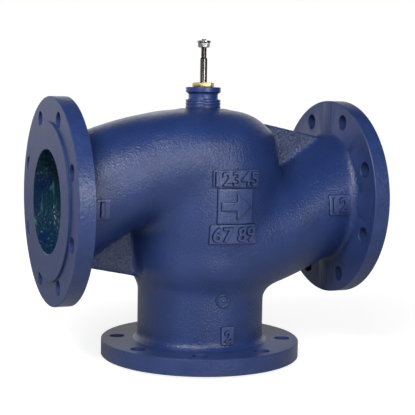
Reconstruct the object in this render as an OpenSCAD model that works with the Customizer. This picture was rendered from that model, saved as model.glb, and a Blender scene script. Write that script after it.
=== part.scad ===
// Three-way globe valve with flanged ports, in millimetres.
// The frame stands at the centre of port B's face. +Z runs up the stem.
// Port A opens to -X, port AB opens to +X and port B opens down.
// The casting is one S-shaped shell: port A leads in over the upper seat, port AB leaves
// from between the two seats, and port B comes up through the lower seat.

/* [Ports] */
// Distance between the faces of ports A and AB
face_to_face = 400; // [380:5:440]
// Height of the axis of ports A and AB above the face of port B
port_h = 200; // [190:1:220]
// Bore of each port
bore_d = 125; // [120:1:128]

/* [Flanges] */
// Outer diameter of a flange
flange_d = 250; // [240:1:270]
// Thickness of a flange with its raised face
flange_t = 23.5; // [20:0.5:28]
// Height of the raised face
raised_t = 3; // [2:0.5:4]
// Width of the rim outside the circle through the bolt holes
rim_w = 20; // [18:0.5:24]
// Width of the step between that circle and the raised face
step_w = 10; // [9.5:0.5:14]
// Number of bolt holes in a flange
bolt_count = 8; // [4:4:12]
// Diameter of a bolt hole
bolt_hole_d = 19; // [16:0.5:22]
// Radius of the cast fillet behind a flange
flange_fillet = 7; // [4:0.5:9]

/* [Casting] */
// Diameter of the round body below the dome
globe_d = 196; // [190:1:204]
// Diameter of the body's lower half
belly_d = 194; // [190:1:200]
// Height of the dome above the port axis
dome_h = 112.5; // [110:0.5:118]
// Depth of the belly below the port axis
belly_h = 130; // [126:1:134]
// Outer diameter of a port's hub where it meets the flange
hub_d = 158; // [154:1:164]
// Rise of trunk A above its hub
rise_a = 29.5; // [26:0.5:33]
// Drop of trunk AB below its hub
rise_ab = 36.5; // [34:0.5:39]
// Wall of the casting
wall = 11; // [9:0.5:12]
// Thickness of the two webs in the mould's parting plane
web_t = 14; // [10:1:20]
// Radius of the blends between trunks and body on the flanks
blend_r = 30; // [24:1:40]
// Radius of the same blends beside the webs
blend_top_r = 5; // [4:1:12]
// Radius of the blend between the belly and port B's neck
neck_blend_r = 18; // [12:1:22]
// Diameter of the machined boss under the neck
boss_d = 60; // [56:1:66]
// Height of that boss above the dome
boss_h = 0.5; // [0.5:0.5:3]

/* [Seats and plug] */
// Travel of the plug between its seats
travel = 40; // [36:1:42]
// Height of the plug between its sealing faces
plug_h = 38; // [34:1:40]
// Depth of the upper sealing face below the port axis
upper_face_drop = 14; // [13:0.5:18]
// Bore of both seat rings
seat_bore_d = 100; // [94:1:102]
// Diameter of the screwed part of the upper seat ring
upper_ring_d = 110; // [108:1:112]
// Diameter of the screwed part of the lower seat ring
lower_ring_d = 118; // [118:0.5:119]
// Length of the screwed part of a seat ring
ring_l = 14; // [12:1:16]
// Width of the flange on a seat ring
ring_lip = 3; // [2:0.5:3.5]
// Diameter of the plug's discs
plug_d = 112; // [108:1:114]
// Thickness of the plug's guide skirts
skirt_t = 5; // [4:0.5:6]
// Number of windows in each skirt
window_count = 4; // [3:1:6]

/* [Neck] */
// Diameter of the neck's collars
neck_d = 43.5; // [42:0.5:48]
// Height of the neck above its gasket
neck_h = 25.5; // [24:0.5:32]
// Height of the neck's top collar
collar_h = 5.8; // [4:0.2:7]
// Diameter at the bottom of the clamp groove
groove_d = 36.6; // [35:0.2:38]
// Diameter of the screwed spigot under the neck
spigot_d = 34; // [32:0.5:35]
// Length of that spigot
spigot_l = 24; // [22:1:26]
// Diameter of the packing chamber
packing_d = 18; // [17:0.5:20]
// Height of one packing ring
packing_h = 5; // [4.5:0.1:5.5]
// Diameter of the gland nut's thread
gland_d = 20; // [20:0.5:22]
// Width across the flats of the gland nut
gland_flats = 24; // [23:0.5:27]
// Height of the gland nut's head
gland_head_h = 5.1; // [4:0.1:7]

/* [Stem] */
// Diameter of the stem through the neck
stem_d = 9; // [8:0.5:10]
// Diameter of the stem above the plug
root_d = 14; // [12:0.5:16]
// Diameter of the threaded end of the stem
thread_d = 7.5; // [6.5:0.1:7.9]
// Height of the stem's shoulder above the gland nut
shoulder_h = 29.4; // [28:0.5:36]
// Length of the threaded end, with its bevel
thread_l = 24; // [20:0.5:32]
// Width across the flats of the nuts on the stem's top
nut_flats = 13; // [12:0.5:14]
// Height of the hexagon of the flange nut
nut_h = 5.8; // [5:0.1:8]
// Diameter of the flange nut's flange
nut_flange_d = 17; // [16:0.5:19]

/* [Hidden] */

// Small gaps, breaks of edges and the overrun of cuts
run_gap = 0.05;
screw_gap = 0.05;
free_gap = 0.4;
seat_gap = 0.1;
edge_break = 1;
overrun = 1;
$fn = 96;

// Small sizes of the casting: how far the skin sinks into a flange, how much tighter a core
// starts than the bore, the straight hub, the steps of a cast fillet and a machined land
flange_sink = 4;
core_step = 1.2;
hub_l = 8;
hub_step = 0.2;
fillet_steps = 6;
bore_over = 1.5;
land_h = 1.5;

// Small sizes of the seats and the plug
lip_t = 3;
gasket_t = 1;
disc_t = 8;
seal_t = 2.5;
seal_in_r = 50.5;
seal_out_r = 54;
skirt_short = 1;
skirt_band = 9;
plug_washer_t = 2;
plug_washer_r = 14;
plug_nut_h = 10;
plug_nut_flats = 19;
tail_d = 12;
tail_over = 2;
stem_collar_r = 12;
stem_collar_h = 4;
root_clear = 3;
window_narrow_share = 0.12;
window_wide_share = 0.33;
window_bend_share = 0.55;
waist_share = 0.45;
waist_rise_share = 0.42;

// Small sizes of the neck and the stem's top
neck_gasket_t = 0.6;
low_collar_h = 10.3;
bush_l = 12;
bush_d = 15;
washer_t = 1.5;
packing_count = 4;
follower_h = 6;
chevron_share = 0.4;
wiper_r = 7;
wiper_h = 3;
thread_bevel = 1.9;
stub_h = 1.9;
nut_flange_t = 2.4;
hexagon_turn = -13;

// Places of the webs, and how far below the belly the skin carries the fillet to port B's neck
web_root_share = 0.6;
web_inner_share = 0.8;
web_dome_share = [0.857, 0.842];
web_hub_share = 0.955;
neck_clip_share = 1.6;
neck_inset = 2;

// Ports and flanges
bore_r = bore_d / 2;
flange_r = flange_d / 2;
bolt_circle_r = flange_r - rim_w;
raised_r = bolt_circle_r - step_w;
hub_r = hub_d / 2;
globe_r = globe_d / 2;
belly_r = belly_d / 2;
trunk_l = face_to_face / 2 - flange_t;

// Shape of the shell. The powers say how square the dome and the belly are, the peak angle
// where a trunk is highest, and the slope how steeply its inner side runs.
dome_power = 3.3;
belly_power = 2.5;
trunk_power = 2.6;
peak_angle = 115;
slope_share = 0.65;
trunk_wide_share = 0.93;
blend_least_share = 0.06;
blend_flank_share = 0.6;
taper_top_share = 0.37;
taper_low_share = 0.5;
wall_taper_share = 0.4;
body_sides = 64;
core_sides = 40;
search_steps = 13;
ring_steps = 12;
trunk_steps = 7;
core_steps = 12;
tip_steps = 7;
tip_share = 0.94;

// Levels of the seats above port B's face
upper_face_z = port_h - upper_face_drop;
upper_land_z = upper_face_z + lip_t + gasket_t;
upper_ring_top_z = upper_land_z + ring_l;
lower_face_z = upper_face_z - travel - plug_h;
lower_land_z = lower_face_z - ring_l;
floor_z = upper_ring_top_z - land_h;
ceiling_z = upper_land_z + land_h;
seat_bore_r = seat_bore_d / 2;
upper_ring_r = upper_ring_d / 2;
lower_ring_r = lower_ring_d / 2;

// Levels of the neck above port B's face
boss_z = port_h + dome_h + boss_h;
neck_z = boss_z + neck_gasket_t;
neck_top_z = neck_z + neck_h;
spigot_z = boss_z - spigot_l;
bush_top_z = spigot_z + bush_l;
rings_z = bush_top_z + washer_t;
follower_z = rings_z + packing_count * packing_h;
gland_z = follower_z + follower_h;
gland_seat_z = neck_top_z + neck_gasket_t;
gland_top_z = gland_seat_z + gland_head_h;
neck_r = neck_d / 2;
groove_r = groove_d / 2;
spigot_r = spigot_d / 2;
packing_r = packing_d / 2;
bush_r = bush_d / 2;
gland_r = gland_d / 2;

// Levels and radii of the stem and the plug at rest, with the plug on its lower seat
stem_r = stem_d / 2;
root_r = root_d / 2;
tail_r = tail_d / 2;
thread_r = thread_d / 2;
shoulder_z = gland_top_z + shoulder_h;
stem_top_z = shoulder_z + thread_l;
flange_nut_z = stem_top_z - stub_h - nut_flange_t - nut_h;
plug_z = lower_face_z + seat_gap;
plug_top_z = lower_face_z + plug_h - seat_gap;
root_top_z = spigot_z - travel - root_clear;
skirt_l = travel + ring_l + lip_t - skirt_short;
skirt_r = seat_bore_r - run_gap;
plug_r = plug_d / 2;
tail_z = plug_z - plug_washer_t - plug_nut_h - tail_over;

casting_blue = [0.16, 0.24, 0.47];
brass = [0.80, 0.70, 0.42];
steel = [0.72, 0.72, 0.74];
white_seal = [0.90, 0.89, 0.85];
black_seal = [0.12, 0.12, 0.13];

// A smaller number is deeper inside. The blend melts two gaps together over its radius.
function blend(a, b, radius) = min(a, b) - pow(max(radius - abs(a - b), 0), 2) / (4 * radius);
function clamp(value) = min(max(value, 0), 1);
function mix(a, b, share) = a + (b - a) * share;

// Gap from a point to the round body: a dome over a belly, both turned about the stem
function round_gap(p) =
    let (
        low = belly_h * taper_low_share,
        high = dome_h * taper_top_share,
        wide = mix(belly_r, globe_r, clamp((p.z + low) / (low + high))),
        power = p.z > 0 ? dome_power : belly_power,
        tall = p.z > 0 ? dome_h : belly_h,
        out = norm([p.x, p.y]) / wide,
        up = abs(p.z) / tall
    )
    (pow(pow(out, power) + pow(up, power), 1 / power) - 1) * wide;

// How far a trunk has run from its hub towards the stem, as a share
function trunk_share(along) = clamp((trunk_l - hub_l - along) / (trunk_l - hub_l));

// Gap from a point to a trunk. The point is in the trunk's own frame: x runs from the stem
// to the flange and z towards the side where the trunk swells. Its section turns from a circle
// at the hub into a squarer oval, and past the stem it closes with an end that is round in plan.
function trunk_gap(p, rise) =
    let (
        share = trunk_share(p.x),
        top = hub_r + rise * sin(peak_angle * share),
        low = -hub_r + slope_share * share * (trunk_l - hub_l),
        mid = (top + low) / 2,
        half = (top - low) / 2,
        wide = mix(hub_r, globe_r * trunk_wide_share, sin(90 * share)),
        power = mix(2, trunk_power, share),
        side = pow(norm([max(-p.x, 0), p.y]) / wide, power),
        rise_part = pow(abs(p.z - mid) / half, power)
    )
    (pow(side + rise_part, 1 / power) - 1) * half;

// The trunks melt into the round body less and less towards the stem, and less towards the
// parting plane than on the flanks
function blend_at(p, along) =
    max(min(2 * (1 - trunk_share(along)), 1), blend_least_share)
    * mix(blend_top_r, blend_r, clamp((abs(p.y) - web_t / 2) / (globe_r * blend_flank_share)));

function turned(p) = [p.x, p.y, -p.z];
function flipped(p) = [-p.x, p.y, p.z];

// Port B's neck is carried by the skin only as far down as its fillet reaches
function neck_gap(p) = p.z > 0 ? globe_r : norm([p.x, p.y]) - hub_r + neck_inset;
function body_gap(p) =
    max(
        blend(
            blend(
                blend(round_gap(p), trunk_gap(flipped(p), rise_a), blend_at(p, -p.x)),
                trunk_gap(turned(p), rise_ab),
                blend_at(p, p.x)
            ),
            neck_gap(p),
            neck_blend_r
        ),
        -hub_r * neck_clip_share - p.z
    );

// Wall between a trunk and its core, which is thicker in the hub
function wall_at(along) =
    mix(hub_r - bore_r + core_step, wall, clamp(trunk_share(along) / wall_taper_share));

// Gap to a core: the chamber on its side of the bridge, melted into the hollow of its trunk.
// A core stays out of the other trunk, whose own wall then closes the bridge between them.
function core_gap(chamber, hollow, other, radius) = max(blend(chamber, hollow, radius), -other);
function core_a_gap(p) =
    core_gap(
        max(round_gap(p) + wall, floor_z - port_h - p.z),
        trunk_gap(flipped(p), rise_a) + wall_at(-p.x),
        trunk_gap(turned(p), rise_ab),
        blend_at(p, -p.x)
    );
function core_ab_gap(p) =
    core_gap(
        max(round_gap(p) + wall, p.z - ceiling_z + port_h),
        trunk_gap(turned(p), rise_ab) + wall_at(p.x),
        trunk_gap(flipped(p), rise_a),
        blend_at(p, p.x)
    );

// Distance along a ray at which a gap changes sign, found by halving
function reach(gap, from, ray, low, high, steps) =
    let (mid = (low + high) / 2)
    steps == 0 ? mid
    : gap(from + ray * mid) > 0 ? reach(gap, from, ray, low, mid, steps - 1)
    : reach(gap, from, ray, mid, high, steps - 1);

function ring_at(gap, from, sides) = [
    for (i = [0 : sides - 1])
        let (ray = [0, cos(360 * i / sides), sin(360 * i / sides)])
        from + ray * reach(gap, from, ray, 0, 2 * globe_r, search_steps)
];

// Closed skin over rings of equally many points, from low x to high x. Each four-sided patch
// is split along its shorter diagonal.
module skin(rings) {
    points = [for (ring = rings) each ring];
    sides = len(rings[0]);
    last = (len(rings) - 1) * sides;
    faces = [
        [for (j = [0 : sides - 1]) j],
        for (i = [0 : len(rings) - 2], j = [0 : sides - 1])
            let (
                a = i * sides + j,
                b = a + sides,
                d = i * sides + (j + 1) % sides,
                c = d + sides
            )
            each norm(points[a] - points[c]) < norm(points[b] - points[d])
                ? [[a, b, c], [a, c, d]]
                : [[a, b, d], [b, c, d]],
        [for (j = [sides - 1 : -1 : 0]) last + j]
    ];
    translate([0, 0, port_h])
        polyhedron(points = points, faces = faces);
}

// Stations of the outer skin: close together where the round body turns, then along a trunk
round_stations = [for (i = [0 : ring_steps]) globe_r * sin(90 * i / ring_steps)];
trunk_stations = [
    for (i = [1 : trunk_steps]) mix(globe_r, trunk_l + flange_sink, i / trunk_steps)
];
half_stations = concat(round_stations, trunk_stations);
body_stations = concat(
    [for (i = [len(half_stations) - 1 : -1 : 1]) -half_stations[i]],
    half_stations
);

module outer_skin() {
    skin([for (x = body_stations) ring_at(function (p) body_gap(p), [x, 0, 0], body_sides)]);
}

// Stations of a core, from its flange to the far end of its chamber
core_stations = concat(
    [for (i = [core_steps : -1 : 1]) (trunk_l + flange_sink) * i / core_steps],
    [for (i = [0 : tip_steps]) -(globe_r - wall) * tip_share * sin(90 * i / tip_steps)]
);

module core_a() {
    middle = (floor_z - port_h + dome_h - wall) / 2;
    skin([
        for (along = core_stations)
            let (centre = [-along, 0, middle * sin(90 * trunk_share(along))])
            ring_at(function (p) core_a_gap(p), centre, core_sides)
    ]);
}

module core_ab() {
    middle = (ceiling_z - port_h - belly_h + wall) / 2;
    skin([
        for (i = [len(core_stations) - 1 : -1 : 0])
            let (
                along = core_stations[i],
                centre = [along, 0, middle * sin(90 * trunk_share(along))]
            )
            ring_at(function (p) core_ab_gap(p), centre, core_sides)
    ]);
}

module ring(outer, inner, height) {
    difference() {
        cylinder(r = outer, h = height);
        translate([0, 0, -overrun])
            cylinder(r = inner, h = height + 2 * overrun);
    }
}

module hexagon(flats, height) {
    rotate([0, 0, hexagon_turn])
        cylinder(d = flats / cos(30), h = height, $fn = 6);
}

// Places a port's own frame, whose +Z leaves the valve through the middle of the face
module at_port_a() {
    translate([-face_to_face / 2, 0, port_h]) rotate([0, -90, 0]) children();
}
module at_port_ab() {
    translate([face_to_face / 2, 0, port_h]) rotate([0, 90, 0]) children();
}
module at_port_b() {
    rotate([180, 0, 0]) children();
}

module flange() {
    back = -flange_t;
    foot_r = hub_r + hub_step;
    arc_r = foot_r + flange_fillet;
    rotate_extrude()
        polygon(concat(
            [
                [0, 0], [raised_r, 0], [raised_r, -raised_t], [flange_r - edge_break, -raised_t],
                [flange_r, -raised_t - edge_break], [flange_r, back + edge_break],
                [flange_r - edge_break, back]
            ],
            [
                for (a = [90 : 90 / fillet_steps : 180])
                    [arc_r + flange_fillet * cos(a), back - flange_fillet + flange_fillet * sin(a)]
            ],
            [[0, back - flange_fillet]]
        ));
}

module bolt_holes() {
    for (i = [0 : bolt_count - 1])
        rotate([0, 0, 360 * (i + 0.5) / bolt_count])
            translate([bolt_circle_r, 0, -flange_t - flange_fillet])
                cylinder(d = bolt_hole_d, h = flange_t + flange_fillet + overrun);
}

module port_bore() {
    translate([0, 0, -flange_t - bore_over])
        cylinder(r = bore_r, h = flange_t + bore_over + overrun);
}

module port_b_neck() {
    translate([0, 0, flange_t - overrun])
        cylinder(r = hub_r + hub_step, h = port_h - belly_r - flange_t + overrun);
}

// Flat webs in the parting plane, over trunk AB and, turned half a turn, under trunk A
module web() {
    outline = [
        [globe_r * web_root_share, 0],
        [globe_r * web_root_share, dome_h * web_inner_share],
        [globe_r * web_dome_share.x, dome_h * web_dome_share.y],
        [trunk_l + overrun, hub_r * web_hub_share],
        [trunk_l + overrun, 0]
    ];
    translate([0, web_t / 2, port_h])
        rotate([90, 0, 0])
            linear_extrude(web_t)
                polygon(outline);
}

module body_casting() {
    color(casting_blue)
        difference() {
            union() {
                difference() {
                    union() {
                        outer_skin();
                        port_b_neck();
                        web();
                        translate([0, 0, 2 * port_h]) rotate([0, 180, 0]) web();
                        at_port_a() flange();
                        at_port_ab() flange();
                        at_port_b() flange();
                        translate([0, 0, boss_z - wall]) cylinder(d = boss_d, h = wall);
                    }
                    core_a();
                    core_ab();
                }
                translate([0, 0, upper_land_z])
                    cylinder(r = upper_ring_r + wall, h = ring_l);
                translate([0, 0, lower_land_z - wall])
                    cylinder(r = lower_ring_r + wall, h = ring_l + wall - land_h);
                translate([0, 0, spigot_z + land_h])
                    cylinder(r = spigot_r + wall, h = spigot_l - 2 * land_h);
            }
            at_port_a() port_bore();
            at_port_ab() port_bore();
            at_port_a() bolt_holes();
            at_port_ab() bolt_holes();
            at_port_b() bolt_holes();
            translate([0, 0, -overrun])
                cylinder(r = bore_r, h = lower_land_z + overrun);
            translate([0, 0, lower_land_z - overrun])
                cylinder(r = lower_ring_r + screw_gap, h = ring_l + 2 * overrun);
            translate([0, 0, upper_land_z - overrun])
                cylinder(r = upper_ring_r + screw_gap, h = ring_l + 2 * overrun);
            translate([0, 0, spigot_z - overrun])
                cylinder(r = spigot_r + screw_gap, h = spigot_l + 2 * overrun);
        }
}

// The upper seat ring is screwed up into the bridge, with its lip and sealing face below
module upper_seat_ring() {
    color(brass)
        translate([0, 0, upper_face_z])
            difference() {
                union() {
                    cylinder(r = upper_ring_r + ring_lip, h = lip_t);
                    cylinder(r = upper_ring_r, h = lip_t + gasket_t + ring_l);
                }
                translate([0, 0, -overrun])
                    cylinder(r = seat_bore_r, h = lip_t + gasket_t + ring_l + 2 * overrun);
            }
}

module upper_seat_gasket() {
    color(white_seal)
        translate([0, 0, upper_face_z + lip_t])
            ring(upper_ring_r + ring_lip, upper_ring_r + screw_gap, gasket_t);
}

// The lower seat ring is screwed up through port B, with its lip below and its sealing face on top
module lower_seat_ring() {
    lip_z = lower_land_z - gasket_t - lip_t;
    color(brass)
        translate([0, 0, lip_z])
            difference() {
                union() {
                    cylinder(r = lower_ring_r + ring_lip, h = lip_t);
                    cylinder(r = lower_ring_r, h = lower_face_z - lip_z);
                }
                translate([0, 0, -overrun])
                    cylinder(r = seat_bore_r, h = lower_face_z - lip_z + 2 * overrun);
            }
}

module lower_seat_gasket() {
    color(white_seal)
        translate([0, 0, lower_land_z - gasket_t])
            ring(lower_ring_r + ring_lip, lower_ring_r + screw_gap, gasket_t);
}

module neck_gasket() {
    color(black_seal)
        translate([0, 0, boss_z])
            ring(neck_r, spigot_r + screw_gap, neck_gasket_t);
}

// The neck is one turned piece: a screwed spigot, a lower collar, the actuator's clamp groove
// with its bevelled upper flank, and a top collar
module neck() {
    bevel = neck_r - groove_r;
    groove_top_z = neck_top_z - collar_h - bevel;
    color(casting_blue)
        rotate_extrude()
            polygon([
                [bush_r + screw_gap, spigot_z],
                [spigot_r - edge_break, spigot_z],
                [spigot_r, spigot_z + edge_break],
                [spigot_r, neck_z],
                [neck_r, neck_z],
                [neck_r, neck_z + low_collar_h],
                [groove_r, neck_z + low_collar_h],
                [groove_r, groove_top_z],
                [neck_r, groove_top_z + bevel],
                [neck_r, neck_top_z - edge_break / 2],
                [neck_r - edge_break / 2, neck_top_z],
                [gland_r + screw_gap, neck_top_z],
                [gland_r + screw_gap, gland_z],
                [packing_r + screw_gap, gland_z],
                [packing_r + screw_gap, bush_top_z],
                [bush_r + screw_gap, bush_top_z]
            ]);
}

module guide_bush() {
    color(brass)
        translate([0, 0, spigot_z])
            ring(bush_r, stem_r + run_gap, bush_l);
}

module packing_washer() {
    color(steel)
        translate([0, 0, bush_top_z])
            ring(packing_r, stem_r + run_gap, washer_t);
}

// A packing ring is a chevron: its open side faces the pressure and nests the ring below
module packing_ring(place) {
    low = rings_z + (place - 1) * packing_h;
    middle_r = (packing_r + stem_r + run_gap) / 2;
    dip = packing_h * chevron_share;
    first = place == 1 ? 0 : dip;
    last = place == packing_count ? 0 : dip;
    color(white_seal)
        rotate_extrude()
            polygon([
                [stem_r + run_gap, low],
                [middle_r, low + first],
                [packing_r, low],
                [packing_r, low + packing_h],
                [middle_r, low + packing_h + last],
                [stem_r + run_gap, low + packing_h]
            ]);
}

module packing_follower() {
    color(brass)
        translate([0, 0, follower_z])
            ring(packing_r, stem_r + run_gap, follower_h);
}

module gland_gasket() {
    color(black_seal)
        translate([0, 0, neck_top_z])
            ring(gland_flats / 2, gland_r + screw_gap, neck_gasket_t);
}

module gland_nut() {
    color(brass)
        difference() {
            union() {
                translate([0, 0, gland_z])
                    cylinder(r = gland_r, h = gland_seat_z - gland_z);
                translate([0, 0, gland_seat_z])
                    hexagon(gland_flats, gland_head_h);
            }
            translate([0, 0, gland_z - overrun])
                cylinder(r = stem_r + free_gap, h = gland_top_z - gland_z + 2 * overrun);
            translate([0, 0, gland_top_z - wiper_h])
                cylinder(r = wiper_r + screw_gap, h = wiper_h + overrun);
        }
}

module wiper_ring() {
    color(black_seal)
        translate([0, 0, gland_top_z - wiper_h])
            ring(wiper_r, stem_r + run_gap, wiper_h);
}

module stem() {
    color(steel)
        rotate_extrude()
            polygon([
                [0, tail_z],
                [tail_r - edge_break, tail_z],
                [tail_r, tail_z + edge_break],
                [tail_r, plug_top_z],
                [stem_collar_r, plug_top_z],
                [stem_collar_r, plug_top_z + stem_collar_h],
                [root_r, plug_top_z + stem_collar_h],
                [root_r, root_top_z - root_r + stem_r],
                [stem_r, root_top_z],
                [stem_r, shoulder_z],
                [thread_r, shoulder_z + thread_bevel],
                [thread_r, stem_top_z - edge_break / 2],
                [thread_r - edge_break / 2, stem_top_z],
                [0, stem_top_z]
            ]);
}

// A window lets flow through a skirt. It widens away from the disc, so that the flow grows
// gently as the plug leaves its seat.
module skirt_window() {
    pitch = PI * seat_bore_d / window_count;
    tall = skirt_l - skirt_band;
    rotate([90, 0, 0])
        linear_extrude(skirt_r + overrun)
            polygon([
                [-pitch * window_narrow_share, 0],
                [pitch * window_narrow_share, 0],
                [pitch * window_wide_share, tall * window_bend_share],
                [pitch * window_wide_share, tall],
                [-pitch * window_wide_share, tall],
                [-pitch * window_wide_share, tall * window_bend_share]
            ]);
}

module skirt() {
    difference() {
        ring(skirt_r, skirt_r - skirt_t, skirt_l);
        for (i = [0 : window_count - 1])
            rotate([0, 0, 360 * i / window_count])
                skirt_window();
    }
}

// Groove for a flat seal in one of the plug's sealing faces
module seal_groove() {
    ring(seal_out_r, seal_in_r, seal_t);
}

module plug() {
    waist_r = plug_r * waist_share;
    color(steel)
        difference() {
            union() {
                rotate_extrude()
                    polygon([
                        [0, plug_z],
                        [plug_r - edge_break, plug_z],
                        [plug_r, plug_z + edge_break],
                        [plug_r, plug_z + disc_t],
                        [waist_r, plug_z + plug_h * waist_rise_share],
                        [waist_r, plug_top_z - plug_h * waist_rise_share],
                        [plug_r, plug_top_z - disc_t],
                        [plug_r, plug_top_z - edge_break],
                        [plug_r - edge_break, plug_top_z],
                        [0, plug_top_z]
                    ]);
                translate([0, 0, plug_top_z]) skirt();
                translate([0, 0, plug_z]) rotate([180, 0, 0]) skirt();
            }
            translate([0, 0, plug_z - overrun])
                cylinder(r = tail_r + screw_gap, h = plug_h + 2 * overrun);
            translate([0, 0, plug_top_z - seal_t]) seal_groove();
            translate([0, 0, plug_z]) seal_groove();
        }
}

module plug_upper_seal() {
    color(white_seal)
        translate([0, 0, plug_top_z - seal_t])
            seal_groove();
}

module plug_lower_seal() {
    color(white_seal)
        translate([0, 0, plug_z])
            seal_groove();
}

module plug_washer() {
    color(steel)
        translate([0, 0, plug_z - plug_washer_t])
            ring(plug_washer_r, tail_r + screw_gap, plug_washer_t);
}

module plug_nut() {
    color(steel)
        translate([0, 0, plug_z - plug_washer_t - plug_nut_h])
            difference() {
                hexagon(plug_nut_flats, plug_nut_h);
                translate([0, 0, -overrun])
                    cylinder(r = tail_r + screw_gap, h = plug_nut_h + 2 * overrun);
            }
}

// The nut on the stem's top carries its flange upwards, where the actuator's fork holds it
module stem_flange_nut() {
    color(steel)
        translate([0, 0, flange_nut_z])
            difference() {
                union() {
                    hexagon(nut_flats, nut_h);
                    translate([0, 0, nut_h]) cylinder(d = nut_flange_d, h = nut_flange_t);
                }
                translate([0, 0, -overrun])
                    cylinder(r = thread_r + screw_gap, h = nut_h + nut_flange_t + 2 * overrun);
            }
}

body_casting();
upper_seat_gasket();
upper_seat_ring();
lower_seat_gasket();
lower_seat_ring();
neck_gasket();
neck();
guide_bush();
packing_washer();
packing_ring(1);  // packing_ring_1
packing_ring(2);  // packing_ring_2
packing_ring(3);  // packing_ring_3
packing_ring(4);  // packing_ring_4
packing_follower();
gland_gasket();
gland_nut();
wiper_ring();
stem();
plug();
plug_upper_seal();
plug_lower_seal();
plug_washer();
plug_nut();
stem_flange_nut();
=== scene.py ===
# %% [markdown]
# # A three-way globe valve, dressed for its portrait
# The valve arrives as a finished CAD frame: twenty-four solids in metres, with the stem and the
# plug already riding on one slide. This notebook only adds what CAD leaves out: the soft skin of a
# sand casting, relief marks, turned edges, a real thread, and paint and metal that look like it.
# Nothing that the frame holds is moved. A piece that looks better than its solid replaces it.

# %% Load the frame
import math

import bmesh
import bpy
from mathutils import Matrix, Vector


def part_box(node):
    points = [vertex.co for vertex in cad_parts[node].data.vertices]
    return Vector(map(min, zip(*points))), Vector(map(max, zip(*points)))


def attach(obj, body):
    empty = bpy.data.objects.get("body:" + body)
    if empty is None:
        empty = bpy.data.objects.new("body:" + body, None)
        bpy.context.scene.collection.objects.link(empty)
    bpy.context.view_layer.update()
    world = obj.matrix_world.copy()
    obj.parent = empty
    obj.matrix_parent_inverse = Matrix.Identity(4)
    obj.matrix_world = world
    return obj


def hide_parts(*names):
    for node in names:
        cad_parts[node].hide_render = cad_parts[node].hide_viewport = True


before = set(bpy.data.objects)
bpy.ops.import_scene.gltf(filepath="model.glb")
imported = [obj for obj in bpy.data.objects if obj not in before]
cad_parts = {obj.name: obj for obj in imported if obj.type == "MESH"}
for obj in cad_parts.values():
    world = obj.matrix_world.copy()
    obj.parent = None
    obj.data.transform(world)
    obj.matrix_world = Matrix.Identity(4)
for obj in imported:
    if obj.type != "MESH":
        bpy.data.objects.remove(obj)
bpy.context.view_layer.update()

# %% [markdown]
# ## Sizes that the pieces share
# A dressed piece has to sit where its solid sits, so the few sizes that it needs are read from the
# solids' own boxes instead of being typed again. What a box can't tell, such as the bore of a port
# or the circle of its bolt holes, is written here once, in metres.

# %% Shared sizes
MM = 0.001
FIXED, MOVING = "valve", "stem_and_plug"
CAST_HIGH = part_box("body_casting")[1]
NECK_LOW, NECK_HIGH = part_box("neck")
GLAND_LOW, GLAND_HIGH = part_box("gland_nut")
STEM_LOW, STEM_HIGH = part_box("stem")
NUT_LOW, NUT_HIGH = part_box("stem_flange_nut")
FACE_X = CAST_HIGH.x
AXIS_Z = 200 * MM
FLANGE_R = CAST_HIGH.y
FLANGE_T = 23.5 * MM
RAISED_R, RAISED_T = 95 * MM, 3 * MM
BOLT_CIRCLE_R, BOLT_R, BOLT_COUNT = 105 * MM, 9.5 * MM, 8
BORE_R = 62.5 * MM
print("port faces at x", round(FACE_X, 4), "flange radius", round(FLANGE_R, 4))

# %% [markdown]
# ## Camera
# The photograph was taken from a little above the side ports, about twenty-three degrees round.
# The camera's place, turn and focal length come from matching the rims and bolt holes of the three
# flanges. The photograph is a crop, so the lens looks slightly off the middle: that is the shift.

# %% Place the camera
CAMERA_YAW, CAMERA_PITCH, CAMERA_ROLL = (math.radians(a) for a in (22.554, 5.677, 0.844))
CAMERA_AT = Vector((-525.16, -1227.40, 313.90)) * MM
ahead = Vector((
    math.sin(CAMERA_YAW) * math.cos(CAMERA_PITCH),
    math.cos(CAMERA_YAW) * math.cos(CAMERA_PITCH),
    -math.sin(CAMERA_PITCH),
))
level = Vector((math.cos(CAMERA_YAW), -math.sin(CAMERA_YAW), 0))
across = math.cos(CAMERA_ROLL) * level + math.sin(CAMERA_ROLL) * level.cross(ahead)
upwards = across.cross(ahead)
bpy.ops.object.camera_add()
camera = bpy.context.object
turn = Matrix((across, upwards, -ahead)).transposed().to_4x4()
camera.matrix_world = Matrix.Translation(CAMERA_AT) @ turn
camera.data.sensor_width = 36
camera.data.lens = 92.45
camera.data.shift_x, camera.data.shift_y = 0.0421, 0.0142
bpy.context.scene.camera = camera
bpy.context.scene.view_settings.view_transform = "Standard"
print("camera looks along", [round(v, 3) for v in ahead])

# %% [markdown]
# ## Helpers for node trees
# The room, the floor, the paints and the metals are all node trees made of the same few nodes, so
# each kind of node gets a short function.

# %% Helpers for node trees
def add(tree, kind, **settings):
    node = tree.nodes.new(kind)
    for name, value in settings.items():
        setattr(node, name, value)
    return node


def combined(tree, first, second, operation="ADD"):
    """Adds or multiplies two values and keeps the result between zero and one."""
    node = add(tree, "ShaderNodeMath", operation=operation, use_clamp=True)
    for socket, value in zip(node.inputs, (first, second)):
        if isinstance(value, float):
            socket.default_value = value
        else:
            tree.links.new(value, socket)
    return node.outputs["Value"]


def spread(tree, value, low, high, start=0.0, end=1.0):
    """Maps a value that runs from start to end onto low to high."""
    node = add(tree, "ShaderNodeMapRange")
    limits = {"From Min": start, "From Max": end, "To Min": low, "To Max": high}
    for name, number in limits.items():
        node.inputs[name].default_value = number
    tree.links.new(value, node.inputs["Value"])
    return node.outputs["Result"]


def mirrored_or_glass(tree, path):
    return combined(tree, path.outputs["Is Glossy Ray"], path.outputs["Is Transmission Ray"])


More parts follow.
